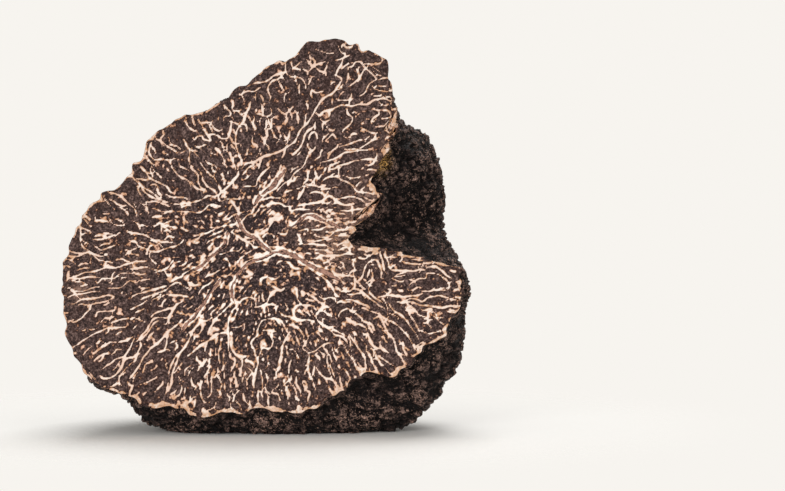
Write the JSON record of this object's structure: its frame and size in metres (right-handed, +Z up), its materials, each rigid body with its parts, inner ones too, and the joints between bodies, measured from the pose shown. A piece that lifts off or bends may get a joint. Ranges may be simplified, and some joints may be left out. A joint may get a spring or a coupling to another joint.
{
  "type": "black truffle half",
  "caption": "Half of a black truffle, cut through to show its dark marbled flesh with branching pale veins, standing on its warty black rind.",
  "frame": {"origin": "on the surface that the truffle rests on, under the middle of its bounding box", "axes": "+Z up; the upright cut face looks along -Y; +X to the right as the cut face is looked at"},
  "size_m": [0.0644, 0.0372, 0.0635],
  "materials": {
    "rind": "matt dark brown-black rind of small many-sided warts with dark cracks between them",
    "cut_flesh": "smooth moist cut, dark brown flesh marbled with cream and light orange-brown veins"
  },
  "bodies": {
    "root": {"truffle_half": "rind"}
  },
  "joints": []
}
